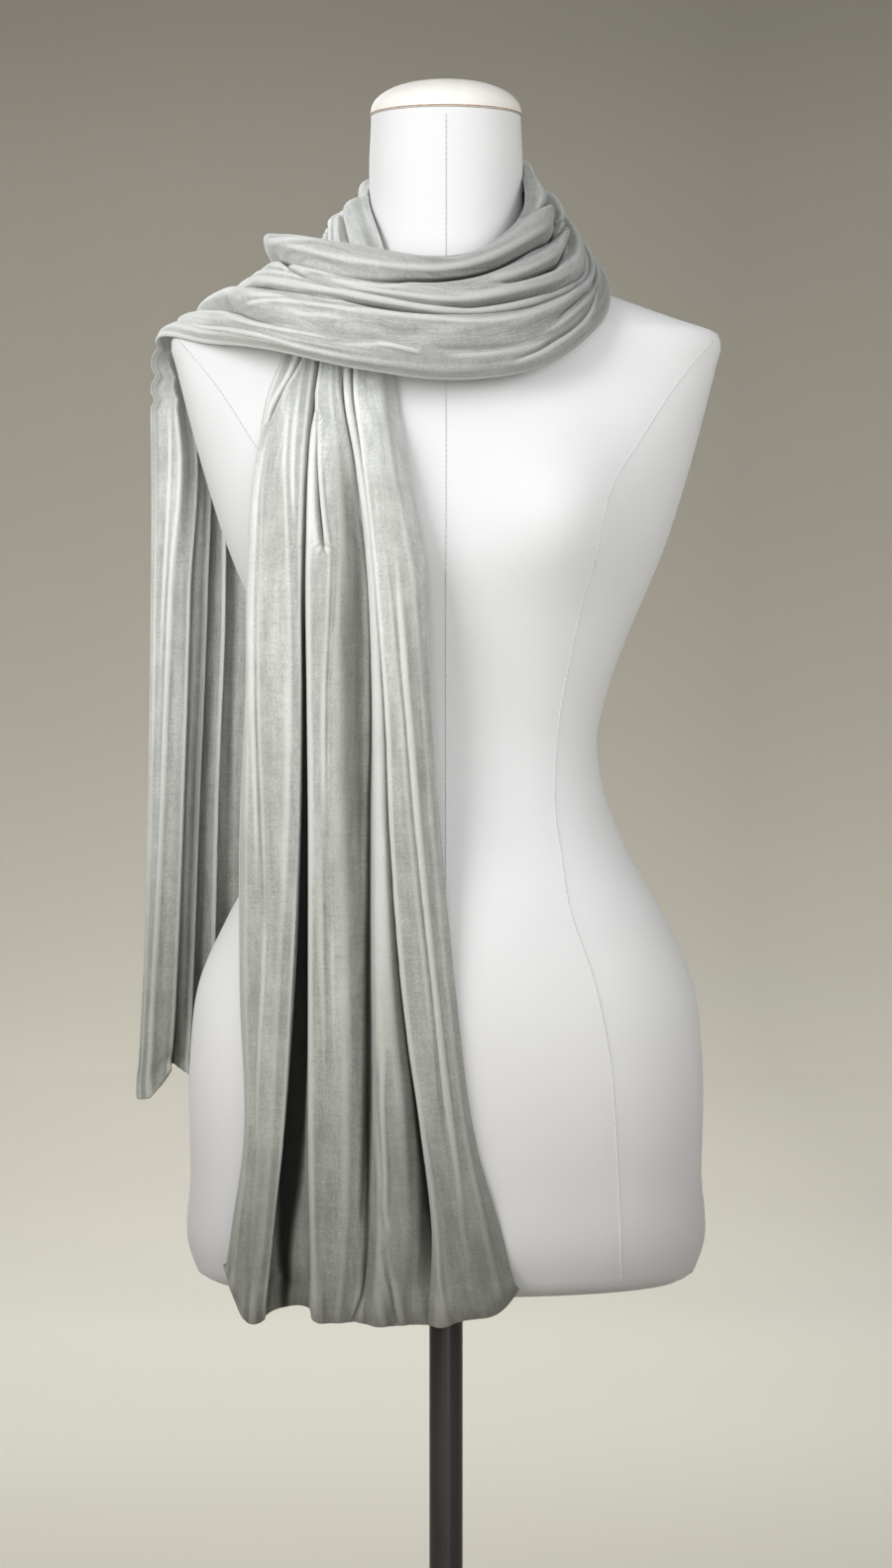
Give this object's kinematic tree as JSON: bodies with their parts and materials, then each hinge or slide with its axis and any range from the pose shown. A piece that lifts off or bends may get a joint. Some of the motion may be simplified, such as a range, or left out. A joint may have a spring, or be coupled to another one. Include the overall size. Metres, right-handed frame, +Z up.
{
  "type": "velvet scarf on a dress form",
  "caption": "Long velvet scarf wound once round the neck of a limbless dress form on a pole stand, one end hanging in front and the other behind.",
  "frame": {"origin": "centre of the stand foot's underside, on the floor", "axes": "+Z up along the pole, -Y out of the form's front, +X to the right of someone who faces the front"},
  "size_m": [0.4089, 0.38, 1.4693],
  "materials": {
    "velvet": "silver sage velvet with a short shiny pile",
    "form_cover": "tight white jersey",
    "neck_cap": "plain off-white cloth",
    "black_steel": "black satin paint"
  },
  "bodies": {
    "root": {"scarf_front_tail": "velvet", "scarf_neck_loop": "velvet", "scarf_front_wrap": "velvet", "scarf_back_tail": "velvet", "form_torso": "form_cover", "form_neck_cap": "neck_cap", "stand_flange": "black_steel", "stand_pole": "black_steel", "stand_collar": "black_steel", "stand_foot": "black_steel"}
  },
  "joints": []
}
